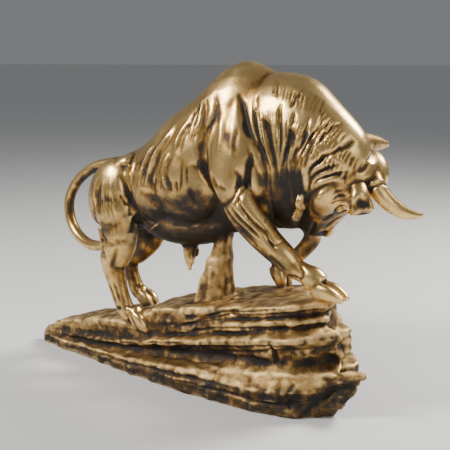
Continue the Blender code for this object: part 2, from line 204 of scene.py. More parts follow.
# Chest above the near foreleg, then ribs, flanks, loin and stifles, and the belly
egg(clay, (112, -36, 208), (20, 14, 18))
egg_pair(clay, (20, -28, 240), (50, 27, 54), (0, 24, 0))
egg_pair(clay, (-24, -26, 226), (40, 23, 42), (0, 30, 0))
egg_pair(clay, (-6, -16, 278), (50, 14, 20), (0, -36, 0))
egg_pair(clay, (-54, -27, 202), (18, 12, 28), (0, 30, 0))
egg(clay, (0, 0, 188), (70, 36, 33), (0, -3, 0))
set_aside(clay, "muscles")

# %% [markdown]
# ## Belly hair and the hair at the point of the chest
#
# A tuft hangs under the belly and a small tassel hangs before the chest. Short
# strings of eggs read as locks of hair once they melt together.

# %% Tufts
clay = bmesh.new()
belly_tuft = ((6, 0, 166, 10, 10), (3, -2, 153, 8, 9), (3, -4, 142, 7, 7), (5, -5, 132, 5, 5))
limb(clay, belly_tuft, steps=3, sides=14)
locks = ((-3, -7, 158), (1, -9, 148), (8, -8, 139), (9, 3, 146), (-4, 4, 149), (6, -8, 131))
for k, lock in enumerate(locks):
    egg(clay, lock, (3.2, 2.6, 6), (0, 12 - 8 * (k % 3), 0))
# Each lump of the tassel: its place and half its height
tassel = ((168, -39, 226, 8.5), (170, -38, 221, 5), (165, -36, 213, 7), (163, -37, 208, 4.5))
for x, y, z, high in tassel:
    egg(clay, (x, y, z), (5, 4.6, high), (0, 22, 0))
set_aside(clay, "tufts")

# %% [markdown]
# ## Legs and cloven hooves
#
# Each leg is a tapered roll with its bones left to show: a cord runs to the
# point of the hock, the knee and the fetlock swell, and the hoof is two claws
# side by side with two dewclaws behind.

# %% Hooves
# One claw from heel to tip, measured from the middle of the hoof
claw_stations = (
    (-10, 5, 1, 4.6, 6.5), (-4, 5.8, 1, 5.6, 8.6), (4, 6.2, 0, 6, 8.4), (12, 5.6, -3, 4.8, 5.6),
    (18, 4.4, -6, 2.6, 2.6),
)


def cloven_hoof(clay, toe, turn, size):
    """Two claws, a dewclaw behind each, and the heel between them."""
    place = Matrix.Translation(toe * MILLIMETRE) @ Matrix.Rotation(math.radians(turn), 4, "Y")
    place = place @ Matrix.Scale(size, 4)
    for side in (-1, 1):
        claw = [(x, side * y, z, wide, deep) for x, y, z, wide, deep in claw_stations]
        limb(clay, claw, steps=2, sides=16, place=place, square=1.35)
        egg(clay, (-13, side * 5.5, 5), (5.4, 3.4, 4.2), (0, 0, 0), place)
    egg(clay, (-9, 0, 6), (6, 8.6, 6.5), (0, 0, 0), place)


# %% Hind legs
HIND_LEG_Y = 34
# Stations of a hind leg: x, z, half the width and half the depth
right_hind = (
    (-80, 186, 13, 28), (-77, 160, 12.5, 24), (-84, 141, 11.5, 21), (-89, 127, 11, 18), (-86, 113, 10, 14.5),
    (-80, 93, 9.5, 12), (-74, 79, 9.5, 11.5), (-69, 71, 10, 11), (-61, 65, 9.5, 9.5),
)
left_hind = (
    (-80, 186, 13, 28), (-88, 155, 12, 25), (-105, 133, 11, 20), (-118, 118, 10, 15), (-117, 103, 8.5, 11),
    (-112, 90, 8.5, 10), (-108, 80, 9, 10.5), (-101, 72, 9.5, 9),
)
clay = bmesh.new()
for side, leg, hoof in ((-1, right_hind, (-49, 64)), (1, left_hind, (-92, 69))):
    leg_y = side * HIND_LEG_Y
    limb(clay, [(x, leg_y, z, wide, deep) for x, z, wide, deep in leg])
    hock_cord = [(-110, side * 31, 170)]
    hock_cord += [(x - deep + 2, leg_y, z + 3) for x, z, wide, deep in leg[2:5]]
    limb(clay, [(*spot, 3.8, 4.6) for spot in hock_cord])
    cloven_hoof(clay, Vector((hoof[0], leg_y, hoof[1])), 24, 1.0)
set_aside(clay, "hind_legs")

# %% Forelegs
near_foreleg = (
    (92, -43, 230, 14, 20), (103, -45, 212, 14.5, 20), (118, -44, 195, 13.5, 19),
    (134, -42, 179, 12.5, 16.5), (150, -40, 166, 12.5, 14.5), (162, -38, 155, 10.5, 12),
    (174, -37, 150, 10, 11), (183, -36, 146, 11.5, 13), (193, -35, 140, 11, 11.5),
)
far_foreleg = (
    (98, 38, 226, 14, 19), (112, 44, 209, 13, 17), (126, 49, 194, 11.5, 14), (136, 52, 181, 11, 12.5),
    (136, 52, 168, 10, 10.5), (126, 51, 154, 8.5, 9.5), (115, 50, 143, 8.5, 9), (106, 50, 134, 9.5, 10),
    (100, 50, 128, 9, 9),
)
clay = bmesh.new()
limb(clay, near_foreleg, steps=3)
cloven_hoof(clay, Vector((199, -35, 133)), -2, 1.24)
limb(clay, far_foreleg, steps=3)
cloven_hoof(clay, Vector((96, 50, 122)), 50, 1.15)
set_aside(clay, "forelegs")

# %% [markdown]
# ## Tail
#
# The tail is swung out behind in one loop and its tip rests against the hock,
# where a caster can join it without a weak free end.

# %% Tail
clay = bmesh.new()
tail = (
    (-96, 0, 246, 9, 9), (-116, 0, 244, 8, 8), (-141, 0, 239, 7, 7), (-162, 0, 228, 6.7, 6.7),
    (-178, 0, 213, 6.6, 6.6), (-188, -1, 192, 6.6, 6.6), (-185, -3, 169, 6.8, 6.8), (-171, -7, 152, 7, 7),
    (-150, -13, 143, 7, 7), (-130, -19, 142, 7, 7), (-108, -26, 147, 5, 5),
)
limb(clay, tail, sides=14)
set_aside(clay, "tail")

# %% [markdown]
# ## Head, horns and ears
#
# The head is twisted, so it gets axes of its own: along the face to the muzzle,
# to its left, and straight out of the forehead. Everything on the head is
# measured in those axes, and is then level with the eyes whatever the twist.

# %% Skull
muzzle_way = Vector((-0.621, 0.183, -0.762)).normalized()
left_way = Vector((-0.644, 0.435, 0.629))
left_way = (left_way - muzzle_way * left_way.dot(muzzle_way)).normalized()
head_place = Matrix.Translation(at(227, 2, 267)) @ Matrix(
    (muzzle_way, left_way, muzzle_way.cross(left_way))).transposed().to_4x4()

clay = bmesh.new()
# Place along the face, top, bottom and half the width
skull_sections = (
    (-8, 0, -18, 12), (2, 9, -28, 22), (16, 12, -38, 25), (35, 12, -48, 24), (50, 14, -51, 22),
    (63, 13, -48, 20), (76, 12, -43, 18), (87, 9, -38, 17), (96, 6, -33, 17), (102, 2, -28, 15),
    (107, -4, -22, 9),
)
skull = [(x, 0, (top + low) / 2, wide, (top - low) / 2) for x, top, low, wide in skull_sections]
limb(clay, skull, steps=3, sides=28, place=head_place, square=1.25)
# Forehead, jaws, brows, nostrils and chin
egg(clay, (12, 0, 9), (21, 25, 17), place=head_place)
egg_pair(clay, (44, -13, -30), (25, 12, 18), place=head_place)
egg_pair(clay, (45, -20, 2), (14, 6, 8), (0, -6, -8), head_place)
egg_pair(clay, (95, -12, -1), (8, 6, 7), place=head_place)
egg(clay, (92, 0, -30), (12, 11, 8), place=head_place)
set_aside(clay, "skull")

# %% Horns and ears
clay = bmesh.new()
# Along the face, outwards, and the share of the horn's reach out of the forehead
horn_path = ((7, 12, 0), (10, 28, 0.04), (14, 42, 0.21), (17, 51, 0.48), (18, 54, 0.77), (17, 54, 1))
# Side, how far the tip stands out of the forehead, and half the thickness from root to tip
horns = ((-1, 55, (10.5, 10, 9.2, 7.8, 5.3, 2.4)), (1, 67, (10.5, 11.5, 12, 11, 8, 3.4)))
for side, reached, thick in horns:
    horn = [(f, side * l, n * reached, half, half) for (f, l, n), half in zip(horn_path, thick)]
    limb(clay, horn, across=(1, 0, 0), sides=18, place=head_place)
    ear = (
        (13, side * 16, -15, 7, 8), (15, side * 26, -17, 8, 9.5), (18, side * 35, -18, 9, 11),
        (22, side * 43, -17, 10, 12.5), (25, side * 50, -16, 9.5, 12),
    )
    limb(clay, ear, across=(1, 0, 0), sides=18, place=head_place)
set_aside(clay, "horns_and_ears")

# %% [markdown]
# ## The eyes
#
# An eye is only a bead on such a figure. What makes it look alive is the heavy
# lid over it and the dark line between the two, which is cut later.

# %% Eyes and lids
clay = bmesh.new()
egg_pair(clay, (49, -20.5, -18), (6.2, 4.5, 5), (0, 0, 0), head_place)
for side in (-1, 1):
    lid = (
        (38, side * 22, -26, 2, 2), (42, side * 24.5, -17, 2.6, 2.6), (50, side * 23, -9, 2.6, 2.6),
        (59, side * 18, -8, 2, 2),
    )
    limb(clay, lid, steps=3, sides=10, place=head_place)
    under_eye = (
        (40, side * 22.5, -28, 1.6, 1.6), (50, side * 22, -26, 1.8, 1.8), (59, side * 19, -17, 1.6, 1.6),
    )
    limb(clay, under_eye, steps=3, sides=10, place=head_place)
set_aside(clay, "eyes")

# %% [markdown]
# ## The rock
#
# The rock is a pile of beds that fan out and climb towards the chest. Its back
# is a stack of flat boxy tubes. Its right-hand face is what people look at, so
# it is drawn as a profile, bottom to top, that has a rim and a hollow for every
# bed. The profile changes along the rock, and the rings are bridged into one
# body.

# %% Beds behind the face
# Foot of the rock on its right-hand side: x and y
rock_foot = np.array((
    (-234, -12), (-190, -26), (-149, -33), (-67, -52), (36, -72), (120, -78), (176, -73), (198, -58),
    (212, -42), (245, -36)), float)
far_edge = np.array((
    (-234, -4), (-214, 10), (-178, 41), (-147, 58), (-80, 75), (-9, 83), (67, 88), (250, 90)), float)
# Each bed: start and end on the right-hand side, top at both, thickness at both, the far edge's set-back
rock_beds = (
    (-223, 208, 22, 27, 40, 45, 0), (-210, 222, 30, 50, 16, 24, 6), (-150, 212, 48, 88, 16, 26, 8),
    (-70, 184, 68, 117, 16, 22, 12), (-30, 176, 80, 120, 24, 16, 16), (-200, 186, 34, 104, 40, 104, 10),
)
BED_STATIONS = 15
# A bed is at least this wide, and tapers to it at both ends by so much for each millimetre
NARROWEST, TAPER = 14, 2.1
# How far behind the foot of the face a bed starts, and how far an edge wanders over what length
BEHIND_FACE = 30
WANDER, WANDER_LENGTH = 5, 21


def foot_y(x):
    return float(np.interp(x, rock_foot[:, 0], rock_foot[:, 1]))


def fanned(x):
    """The beds lie close together at the low end of the rock and spread towards the high one."""
    return float(np.interp(x, (-220, -100, 0, 90), (0.2, 0.45, 0.85, 1)))


def edge_wander(x, seed):
    return WANDER * noise.noise(Vector((x / WANDER_LENGTH, seed * 3.7, 0.4)))


def bed(clay, seed, start, end, top_a, top_b, thick_a, thick_b, far_back):
    stations = []
    for k in range(BED_STATIONS):
        t = k / (BED_STATIONS - 1)
        x = start + (end - start) * t
        right = foot_y(x) + BEHIND_FACE * fanned(x)
        left = np.interp(x, far_edge[:, 0], far_edge[:, 1]) - far_back + edge_wander(x, seed + 9)
        left = min(max(left, right + NARROWEST), right + NARROWEST + TAPER * min(end - x, 3 * (x - start)))
        top = top_a + (top_b - top_a) * t**0.85
        thick = thick_a + (thick_b - thick_a) * t
        stations.append((x, (left + right) / 2, top - thick / 2, (left - right) / 2, thick / 2))
    limb(clay, stations, steps=2, sides=32, square=3.4, along=Vector((1, 0, 0)))


clay = bmesh.new()
for seed, shape in enumerate(rock_beds, 1):
    bed(clay, seed, *shape)

# %% The face of the rock
# Each line runs along the rock: how far it reaches, then its height along x
rock_lines = {
    "foot": (213, ((-234, 3), (213, 3))),
    "rim a": (249, ((-230, 12), (-150, 14), (-99, 17), (-43, 21), (0, 25), (62, 31), (110, 30),
        (156, 29), (195, 35), (249, 57))),
    "hollow b": (222, ((-234, 13), (-150, 16), (-99, 19), (-55, 24), (2, 30), (48, 37), (103, 43),
        (156, 48), (222, 54))),
    "under b": (214, ((-234, 14), (-150, 19), (-98, 23), (-45, 33), (50, 51), (104, 61), (165, 69),
        (214, 72))),
    "rim b": (226, ((-234, 15), (-190, 21), (-144, 25), (-76, 33), (-8, 48), (54, 60), (108, 72),
        (138, 80), (187, 88), (226, 93))),
    "hollow c": (206, ((-234, 16), (-190, 22), (-60, 37), (-19, 50), (43, 64), (97, 75), (152, 89),
        (206, 99))),
    "rim c": (208, ((-234, 17), (-190, 23), (-60, 39), (-32, 52), (31, 68), (80, 83), (113, 90),
        (154, 99), (198, 105))),
    "hollow d": (202, ((-234, 18), (-190, 24), (-60, 41), (0, 60), (38, 75), (72, 83), (106, 92),
        (148, 102), (192, 107))),
    "rim d": (213, ((-234, 19), (-190, 25), (-60, 43), (0, 66), (41, 83), (75, 96), (108, 105),
        (155, 116), (197, 122))),
}
# The profile: its line, how far above it, and how far in from the foot along the middle and at the high end
profile = (
    ("foot", -7, 8, 10), ("foot", 0, 0, 0), ("rim a", -12, -1, 2), ("rim a", -4, 1, -3), ("rim a", 0, 5, 0),
    ("hollow b", -5, 15, 9), ("hollow b", 0, 25, 18), ("hollow b", 6, 29, 20), ("under b", 0, 25, 12),
    ("rim b", -5, 18, 2), ("rim b", 0, 20, 3), ("hollow c", -3, 27, 12), ("hollow c", 0, 34, 18),
    ("rim c", -4, 31, 11), ("rim c", 0, 33, 12), ("hollow d", 0, 41, 20), ("rim d", -5, 37, 13),
    ("rim d", 0, 40, 15), ("rim d", 3, 62, 46), ("foot", -7, 66, 66),
)
LOW_END = -230
# At the high end the face leans: a point this far in from its foot also stands 1 mm further back
LEAN = 1.9


def line_height(name, x):
    """Height of a line of the rock at x."""
    return np.interp(x, *np.array(rock_lines[name][1], float).T)


rings = []
for t in [*np.linspace(0, 0.9, 44), 0.925, 0.95, 0.975, 1]:
    made = bmesh.ops.create_circle(clay, segments=len(profile), radius=1)
    high_end = float(np.interp(t, (0.66, 0.86), (0, 1)))
    fallen_back = float(np.interp(t, (0.8, 1), (0, 1))) / LEAN
    for number, (vert, (name, above, middle, high)) in enumerate(zip(made["verts"], profile)):
        x = LOW_END + (rock_lines[name][0] - LOW_END) * t
        z = above * fanned(x) if name != "foot" else above
        z += float(line_height(name, x))
        inset = (middle + (high - middle) * high_end) * fanned(x)
        wander = 0 if name == "foot" else 0.7 * edge_wander(x + 3 * number, 2 + number // 3)
        along_rock = x - fallen_back * max(inset, 0) + 0.5 * wander
        vert.co = at(along_rock, foot_y(x) + inset + wander, z + 0.35 * wander)
    rings.append(list({edge for vert in made["verts"] for edge in vert.link_edges}))
for first, second in zip(rings, rings[1:]):
    bmesh.ops.bridge_loops(clay, edges=first + second)
for end in (rings[0], rings[-1]):
    bmesh.ops.contextual_create(clay, geom=end)

# %% The pillar
pillar = (
    (34, 2, 70, 36, 25), (36, 1, 88, 26, 21.5), (38, 1, 104, 20, 18.5), (41, 1, 125, 18, 15),
    (46, 1, 148, 14, 10), (49, 0, 170, 13, 8.5), (50, 0, 192, 13, 9),
)
limb(clay, pillar, square=1.9)
set_aside(clay, "stone")

# %% [markdown]
# ## One skin
#
# Remesh wraps everything in one closed skin of even squares, as slip does over
# joined clay. Squares of 1.3 mm are small enough for folds and hair. Smooth then
# melts the joins. The stone gets a skin of its own first, so that it can be
# weathered before it joins the bull. The dip between the hump and the neck is
# melted once more, so that they run into each other.

# %% Skin tools
SKIN_STEP = 0.0013


def bake(figure):
    graph = bpy.context.evaluated_depsgraph_get()
    graph.update()
    mesh = bpy.data.meshes.new_from_object(figure.evaluated_get(graph))
    figure.modifiers.clear()
    figure.data = mesh


def wrap(name, lumps):
    """The lumps joined in one mesh and wrapped in one skin."""
    joined = bmesh.new()
    for lump in lumps:
        joined.from_mesh(lump)
    mesh = bpy.data.meshes.new(name)
    joined.to_mesh(mesh)
    joined.free()
    figure = bpy.data.objects.new(name, mesh)
    bpy.context.scene.collection.objects.link(figure)
    remesh = figure.modifiers.new("Wrap", "REMESH")
    remesh.mode = "VOXEL"
    remesh.voxel_size = SKIN_STEP
    bake(figure)
    return figure


def melt(figure, rounds, share=0.5):
    relax = figure.modifiers.new("Melt", "SMOOTH")
    relax.iterations = rounds
    relax.factor = share
    bake(figure)


def read_skin(mesh):
    places = np.zeros(len(mesh.vertices) * 3)
    mesh.vertices.foreach_get("co", places)
    facing = np.zeros(len(mesh.vertices) * 3)
    mesh.vertices.foreach_get("normal", facing)
    return places.reshape(-1, 3) / MILLIMETRE, facing.reshape(-1, 3)


def write_skin(mesh, places):
    mesh.vertices.foreach_set("co", (places * MILLIMETRE).ravel())
    mesh.update()


# %% Weathered stone
# The pillar's middle along x, half its reach along x and y, and the height of its foot
PILLAR_X, PILLAR_LONG, PILLAR_WIDE, PILLAR_FOOT = 42, 34, 30, 96
# The beds spread by this share of their height for every millimetre along the rock
BED_SPREAD = 0.0021


def weathered(places, facing):
    """Fine beds cut into the rock's sides, broken and pitted faces, and a streaked pillar."""
    moved = places.copy()
    for i, (spot, way) in enumerate(zip(places, facing)):
        x, y, z = spot
        point = Vector((x, y, z))
        upright = 1 - abs(way[2])
        if z > PILLAR_FOOT and abs(x - PILLAR_X) < PILLAR_LONG and abs(y) < PILLAR_WIDE:
            streaks = noise.noise(Vector((x / 7, y / 7, z / 30)))
            moved[i] += way * (2.6 * streaks + 1.4 * noise.noise(point / 8) + 0.5 * noise.noise(point / 3))
            continue
        height = z / (1 + BED_SPREAD * x)
        beds = noise.noise(Vector((x / 60, y / 60, height / 5)))
        thin_beds = noise.noise(Vector((x / 26, y / 26, height / 2)))
        blocks = noise.noise(point / 24) + 0.6 * noise.noise(point / 11)
        cracks = abs(noise.noise(point / 9)) - 0.2
        pits = noise.noise(point / 4) + 0.6 * noise.noise(point / 2.2)
        layered = upright * (2.0 * beds + 0.8 * thin_beds + 1.6 * cracks)
        moved[i] += way * (layered + 2.2 * blocks + (0.35 + 0.35 * upright) * pits)
    return moved


stone = wrap("stone", [heap.pop()])
melt(stone, 4)
write_skin(stone.data, weathered(*read_skin(stone.data)))
stone_tree = KDTree(len(stone.data.vertices))
for vert in stone.data.vertices:
    stone_tree.insert(vert.co, vert.index)
stone_tree.balance()
print("stone:", len(stone.data.vertices), "points")

# %% The whole figure in one skin
figure = wrap("gilded_bull", heap + [stone.data])
bpy.data.objects.remove(stone)
melt(figure, 5)
print("figure:", len(figure.data.vertices), "points")

# %% The saddle between hump and neck
SADDLE_MIDDLE, SADDLE_REACH = (104, 0, 338), (26, 70, 44)
places = read_skin(figure.data)[0]
close = np.exp(-((((places - SADDLE_MIDDLE) / SADDLE_REACH) ** 2).sum(1)))
saddle = figure.vertex_groups.new(name="saddle")
for i in np.nonzero(close > 0.05)[0]:
    saddle.add([int(i)], float(close[i]), "REPLACE")
relax = figure.modifiers.new("Saddle", "SMOOTH")
relax.iterations = 60
relax.factor = 0.5
relax.vertex_group = "saddle"
bake(figure)
figure.vertex_groups.clear()

# %% [markdown]
# ## Folds
#
# A fold is drawn as a line on the side view and pressed into the skin where it
# faces outward. A negative depth raises a ridge instead. The far side gets the
# same folds, because a charging bull's neck creases on both sides.

# %% The carving tool
# A cut is this much narrower and shallower than it is drawn, and no cut or ridge passes these limits
CUT_WIDTH, CUT_DEPTH = 0.78, 0.85
DEEPEST, HIGHEST = 5.5, 4
# The share of a stroke's length over which it runs out at each end
RUN_OUT = 0.28


def along_line(points, line):
    """Distance of every point to a line of straight parts, and 0 at its ends to 1 along its middle."""
    nearest = np.full(len(points), 1e9)
    passed = np.zeros(len(points))
    for number, (start, end) in enumerate(zip(line, line[1:])):
        step = end - start
        share = np.clip((points - start) @ step / (step @ step), 0, 1)
        away = np.linalg.norm(points - start - share[:, None] * step, axis=1)
        closer = away < nearest
        nearest[closer] = away[closer]
        passed[closer] = number + share[closer]
    passed /= len(line) - 1
    return nearest, np.clip(np.minimum(passed, 1 - passed) / RUN_OUT, 0, 1) ** 0.7


def cut_depth(points, line, width, depth):
    """A cut that runs out to a point at both ends, as a gouge leaves it."""
    away, full = along_line(points, line)
    return depth * full * np.exp(-((away / (width * (0.5 + 0.5 * full))) ** 2))


def carve(figure, strokes, side=0):
    """Strokes are (line of x and z, width, depth). Side -1 keeps them to the right, 0 cuts both."""
    places, facing = read_skin(figure.data)
    seen = places[:, [0, 2]]
    outward = np.clip(facing[:, 1] * np.sign(places[:, 1]), 0, 1) ** 0.5
    if side:
        outward[places[:, 1] * side < 0] = 0
    push = np.zeros(len(places))
    for line, width, depth in strokes:
        line = smooth_run(line, 4)
        width = CUT_WIDTH * width
        near = ((seen > line.min(0) - 3 * width) & (seen < line.max(0) + 3 * width)).all(1)
        push[near] -= CUT_DEPTH * cut_depth(seen[near], line, width, depth) * outward[near]
    push = np.clip(push, -DEEPEST, HIGHEST)
    write_skin(figure.data, places + facing * push[:, None])


# %% Folds of the neck, shoulder and flank
neck_folds = (
    (((90, 335), (100, 318), (108, 300), (117, 287), (126, 272), (131, 255), (130, 233)), 5, 5.0),
    (((108, 335), (117, 306), (123, 288), (133, 268), (139, 255)), 3.4, 3.5),
    (((113, 334), (117, 319)), 2.2, 2.0),
    (((126, 311), (131, 305), (136, 292), (142, 270), (146, 248)), 4.2, 4.5),
    (((147, 327), (146, 315), (149, 300), (151, 286), (150, 270)), 3.4, 3.0),
    (((162, 303), (162, 291), (157, 279), (154, 262)), 4.2, 4.2),
    (((166, 341), (161, 331), (158, 322)), 2.4, 2.2),
    (((163, 318), (163, 303)), 2.4, 2.0),
    (((180, 314), (177, 300), (175, 288), (169, 278), (166, 266)), 3.6, 3.6),
    (((185, 304), (183, 291), (177, 280), (174, 262)), 2.6, 2.6),
    (((193, 314), (189, 303), (184, 294)), 2.4, 2.2),
    (((201, 311), (194, 303), (187, 293), (182, 279), (178, 262)), 3.4, 3.4),
    (((210, 308), (202, 303), (195, 294), (192, 286)), 2.6, 2.6),
    (((222, 293), (218, 286), (208, 280), (198, 273), (183, 260)), 3.2, 3.4),
    (((204, 282), (194, 271), (185, 262), (179, 245)), 2.8, 3.0),
    (((212, 267), (198, 261), (185, 252), (178, 237)), 3.2, 4.0),
    (((218, 260), (204, 255), (190, 249), (183, 241)), 2.8, 3.4),
)
shoulder_edges = (
    (((60, 337), (68, 314), (59, 298), (52, 280), (52, 262), (57, 246), (70, 226), (82, 212)), 6, 4.5),
    (((116, 276), (112, 258), (109, 240), (100, 214)), 4.4, 3.2),
    (((70, 322), (66, 300), (62, 280), (64, 262)), 3.2, -1.6),
    (((86, 332), (84, 304), (92, 272)), 6, 1.5),
    (((66, 250), (76, 239), (90, 234)), 5, 1.8),
    (((100, 256), (103, 245), (99, 231), (89, 219), (72, 210)), 3.6, 4.0),
    (((74, 312), (78, 292), (76, 270)), 4, -1.0), (((98, 300), (96, 282), (100, 268)), 4, 1.2),
    (((37, 314), (33, 303), (29, 294)), 3, 2.2),
)
flank_grooves = (
    (((-71, 238), (-62, 222), (-56, 208), (-49, 194), (-52, 180), (-56, 168)), 5.5, 5.5),
    (((-68, 216), (-62, 201)), 2.4, 1.8),
    (((-96, 226), (-101, 207), (-97, 188)), 5, 2.0),
    (((-104, 236), (-108, 214), (-104, 192)), 2.6, -1.6),
    (((-92, 232), (-91, 214), (-88, 196)), 2.6, -1.2), (((-80, 232), (-78, 214), (-72, 192)), 3, -1.4),
    (((-100, 180), (-88, 177), (-78, 180)), 3, 1.0), (((-106, 162), (-84, 156), (-60, 160)), 5, 1.6),
    (((-62, 262), (-59, 249)), 5, 3.2),
    (((-58, 265), (-53, 248), (-52, 232), (-46, 219)), 3.2, -1.8),
    (((-16, 185), (-30, 177), (-42, 171), (-54, 164)), 2.2, -3.0),
    (((-48, 204), (-42, 193), (-31, 183), (-17, 181)), 1.8, -2.2),
    (((-34, 190), (-26, 180)), 3.2, 2.4),
    (((-35, 223), (-23, 216), (-7, 210), (14, 210), (29, 213), (45, 228)), 8, 2.2),
    (((37, 232), (41, 219), (51, 210)), 4.6, 2.2),
    (((-40, 202), (-27, 196), (-9, 193), (18, 194), (50, 190)), 6, 1.2),
    (((16, 190), (27, 185), (38, 188)), 2.2, -1.6), (((22, 203), (33, 206), (46, 200)), 4.4, 1.0),
)
# Each rib crest is a raised line, and the grooves run beside it
rib_crests = (
    (((-21, 275), (-31, 258), (-38, 228)), 3.2, -2.4),
    (((-11, 269), (-22, 247), (-27, 230)), 2.8, -2.0),
    (((9, 300), (-2, 282), (-16, 264), (-20, 243)), 3.0, -2.2),
    (((8, 268), (1, 249), (7, 227)), 2.8, -1.8),
    (((43, 330), (47, 317), (45, 300), (37, 288)), 3.4, -2.4),
    (((28, 303), (19, 286), (16, 268)), 3.0, -1.6),
)
rib_grooves = [([(x + 6.5, z - 1) for x, z in crest], 4.2, 1.7) for crest, _, _ in rib_crests]
rib_nicks = (
    (((29, 264), (28, 242), (26, 228)), 2.0, 1.2),
    (((21, 240), (23, 227)), 1.6, 1.0),
    (((35, 255), (36, 238)), 1.8, 1.1),
    (((13, 238), (15, 226)), 1.5, 1.2),
)
folds = (*neck_folds, *shoulder_edges, *flank_grooves, *rib_crests, *rib_grooves, *rib_nicks)
carve(figure, folds)
print("folds:", len(folds))

# %% [markdown]
# ## Seams in the rock
#
# Thin seams run along the rock between its rims, and a few cracks go down
# through the beds. They are carved like folds, and only into the right-hand
# face, whose lines they follow.

# %% Seams and cracks
# Each seam: the rim it follows, its height above the rim, and its start and end along the rock
seam_runs = (
    ("rim a", -8, -150, 120), ("rim a", -15, 20, 200), ("rim a", 6, -60, 90), ("rim b", -8, 10, 190),
    ("rim b", -14, 60, 210), ("rim b", 6, -20, 120), ("rim c", -5, -10, 170), ("rim c", 5, 20, 180),
    ("rim d", -6, 0, 120), ("rim d", -8, 110, 200), ("rim d", -2, 40, 160), ("rim b", -3, -120, 30),
)
SEAM_WIDTH, SEAM_DEPTH = 2.2, 2.6
seams = []
for name, above, start, end in seam_runs:
    run = [start + (end - start) * k / 7 for k in range(8)]
    seam = [(x, float(line_height(name, x)) + above * fanned(x) + edge_wander(x, above) / 3) for x in run]
    seams.append((seam, SEAM_WIDTH, SEAM_DEPTH))
cracks = (
    (((150, 52), (153, 64), (150, 80)), 4, 5),
    (((178, 38), (174, 22), (178, 8)), 4, 3.5),
    (((96, 42), (99, 52)), 3, 3),
)
carve(figure, (*seams, *cracks), -1)
print("seams:", len(seams), "cracks:", len(cracks))

# %% [markdown]
# ## Tendons
#
# Under the thin skin of a leg the cords stand out as long, straight ridges with
# a sharp valley on each side. They are cut on one side at a time, because the
# legs of the two sides are posed differently.

# %% Tendons of the legs
right_leg_cords = (
    (((78, 222), (88, 212), (97, 203), (112, 192), (130, 179)), 2.8, 2.8),
    (((96, 218), (106, 206), (120, 195), (131, 186)), 2.4, 2.6),
    (((101, 230), (109, 217), (118, 207), (130, 197), (139, 191)), 2.4, 2.6),
    (((112, 213), (120, 202), (132, 193)), 1.8, 1.8),
    (((128, 196), (136, 190), (140, 183), (150, 172)), 1.8, 1.8),
    (((99, 196), (112, 188), (128, 176)), 3.0, 2.6),
    (((140, 168), (148, 161), (158, 153)), 2.4, 2.4),
    (((138, 184), (147, 179), (153, 184)), 2.2, 1.6),
    (((170, 162), (177, 152), (172, 141)), 2.6, 2.2),
    (((158, 148), (168, 147), (176, 144)), 2.2, 1.8),
    (((-106, 160), (-99, 146), (-92, 135)), 2.4, 2.4),
    (((-92, 164), (-98, 148), (-100, 134)), 2.2, 2.2),
    (((-82, 108), (-77, 96), (-73, 84)), 2.0, 1.6),
    (((-90, 106), (-83, 92), (-78, 80)), 1.8, 1.2),
    (((-70, 158), (-77, 140), (-84, 124)), 3, 0.9),
    (((-66, 74), (-58, 62), (-50, 50)), 1.6, 1.6),
    (((-60, 76), (-52, 66), (-44, 54)), 1.6, 1.6),
    (((-78, 75), (-70, 77)), 3, 2.6),
)
left_leg_cords = (
    (((100, 218), (113, 204), (126, 190), (133, 180)), 2.6, 2.6),
    (((110, 222), (122, 208), (134, 194)), 2.2, 2.2),
    (((131, 166), (122, 154), (112, 143)), 2.2, 2.0), (((-112, 114), (-108, 98), (-104, 84)), 2.0, 2.2),
    (((-96, 152), (-106, 138), (-112, 124)), 2.4, 2.2), (((-98, 84), (-90, 74), (-84, 66)), 1.6, 1.6),
)
carve(figure, right_leg_cords, -1)
carve(figure, left_leg_cords, 1)
print("cords:", len(right_leg_cords) + len(left_leg_cords))

# %% [markdown]
# ## Hair
#
# Hair on a casting is a field of short grooves that run the same way. A fringe
# is made from two guide lines: the strokes between them are blends of the two,
# each a little shorter, longer or deeper than the next.

# %% Fringes of hair
rng = np.random.default_rng(7)
# How far a stroke's points stray from the blend
STRAY = 1.4


def fringe(first, last, count, width, depth):
    """Strokes that turn from the first guide line into the last."""
    first, last = np.array(first, float), np.array(last, float)
    strokes = []
    for k in range(count):
        line = first + (last - first) * (k + 0.5) / count
        line = line + rng.uniform(-STRAY, STRAY, line.shape)
        strokes.append((line, width * rng.uniform(0.8, 1.2), depth * rng.uniform(0.5, 1.3)))
    return strokes


hair = [
    *fringe(((196, 303), (190, 292)), ((236, 268), (231, 255)), 13, 1.5, 1.5),
    *fringe(((186, 288), (181, 275)), ((222, 262), (215, 250)), 10, 1.5, 1.4),
    *fringe(((190, 322), (186, 309)), ((226, 290), (219, 280)), 9, 1.5, 1.2),
    *fringe(((138, 262), (134, 214)), ((176, 268), (168, 222)), 13, 1.7, 1.6),
    *fringe(((132, 240), (132, 200)), ((160, 236), (150, 204)), 7, 1.6, 1.2),
    *fringe(((128, 352), (133, 333)), ((190, 330), (190, 314)), 13, 1.6, 1.0),
    *fringe(((104, 322), (116, 296), (129, 262)), ((150, 318), (150, 292), (152, 262)), 13, 1.5, 1.3),
    *fringe(((154, 312), (155, 290), (153, 262)), ((204, 304), (188, 284), (172, 258)), 15, 1.5, 1.3),
    *fringe(((62, 322), (56, 296), (54, 268)), ((40, 324), (34, 302), (30, 280)), 5, 1.8, 0.9),
    *fringe(((-30, 262), (-38, 244), (-44, 226)), ((6, 262), (2, 244), (0, 226)), 8, 2.0, 0.8),
    *fringe(((-104, 226), (-108, 206), (-104, 190)), ((-76, 222), (-76, 204), (-74, 188)), 7, 1.8, 0.8),
]
carve(figure, hair)
print("hair strokes:", len(hair))

